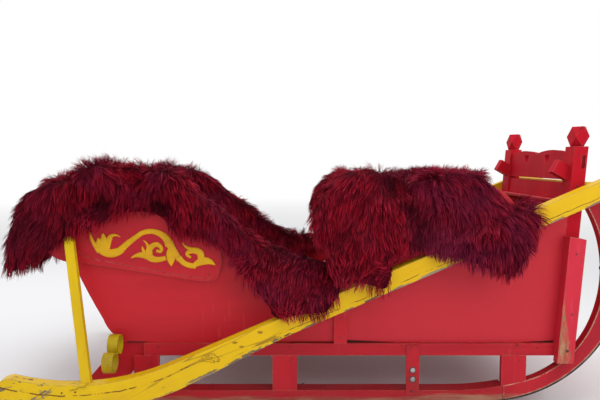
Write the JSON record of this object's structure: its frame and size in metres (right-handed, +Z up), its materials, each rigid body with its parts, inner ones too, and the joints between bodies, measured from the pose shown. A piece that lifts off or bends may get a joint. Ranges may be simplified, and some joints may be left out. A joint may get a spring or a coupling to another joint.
{
  "type": "horse drawn sleigh",
  "caption": "Painted wooden horse sleigh on two bent runners, with splayed outriggers, a high dash, two seats and long haired fleece throws.",
  "frame": {"origin": "on the snow under the runner shoes, at the middle of the length and width", "axes": "+X forward, towards the horse; +Y to the sleigh's left; +Z up"},
  "size_m": [3.0398, 1.5364, 1.366],
  "materials": {
    "red_body": "red gloss paint on boards, slightly scuffed",
    "red_frame": "red paint on rough sawn timber",
    "red_dash": "red gloss paint on planed timber",
    "red_inside": "red paint, walked on",
    "worn_wood": "red paint with bare weathered wood at the foot",
    "yellow_wood": "yellow paint, chipped to grey wood",
    "yellow_carving": "yellow paint on carved wood",
    "yellow_iron": "yellow paint on flat iron",
    "red_iron": "red paint on flat iron",
    "shoe_iron": "bare iron polished by snow",
    "draw_iron": "dark forged iron",
    "fleece": "long haired sheepskin dyed burgundy"
  },
  "bodies": {
    "root": {"back_panel": "red_inside", "bearers": "red_inside", "bench_back": "red_inside", "bench_board": "red_inside", "bench_riser": "red_inside", "bench_throw": "fleece", "carving_left": "yellow_carving", "carving_right": "yellow_carving", "dash_horn_left": "red_dash", "dash_horn_right": "red_dash", "dash_ledge": "red_dash", "dash_lower_board": "red_dash", "dash_toe_panel": "red_dash", "dash_upper_board": "red_dash", "draw_eye_left": "draw_iron", "draw_eye_right": "draw_iron", "driver_seat_board": "red_inside", "driver_throw": "fleece", "floor": "red_inside", "front_crossbar": "yellow_wood", "front_post_left": "red_dash", "front_post_right": "red_dash", "iron_strap_left": "red_iron", "iron_strap_right": "red_iron", "knee_left": "worn_wood", "knee_right": "worn_wood", "outrigger_left": "yellow_wood", "outrigger_prop_left": "yellow_wood", "outrigger_prop_right": "yellow_wood", "outrigger_right": "yellow_wood", "rear_brace_left": "red_frame", "rear_brace_right": "red_frame", "rear_seat_board": "red_inside", "rear_seat_riser": "red_inside", "rear_throw": "fleece", "runner_front_left": "red_frame", "runner_front_right": "red_frame", "runner_left": "red_frame", "runner_right": "red_frame", "runner_shoe_left": "shoe_iron", "runner_shoe_right": "shoe_iron", "scroll_iron_left": "yellow_iron", "scroll_iron_right": "yellow_iron", "side_wall_left": "red_body", "side_wall_right": "red_body", "side_wing_left": "red_body", "side_wing_right": "red_body", "sill_left": "red_frame", "sill_right": "red_frame", "stanchions_left": "red_frame", "stanchions_right": "red_frame", "wall_stake_left": "red_frame", "wall_stake_right": "red_frame"},
    "shackle_right": {"draw_shackle_right": "draw_iron"},
    "shackle_left": {"draw_shackle_left": "draw_iron"}
  },
  "joints": [
    {"name": "draw_shackle_right_swing", "type": "hinge", "parent": "root", "child": "shackle_right", "pos_m": [1.4999, -0.48, 0.682], "axis": [0, -1, 0], "range_deg": [-8, 120]},
    {"name": "draw_shackle_left_swing", "type": "hinge", "parent": "root", "child": "shackle_left", "pos_m": [1.4999, 0.48, 0.682], "axis": [0, -1, 0], "range_deg": [-8, 120]}
  ]
}
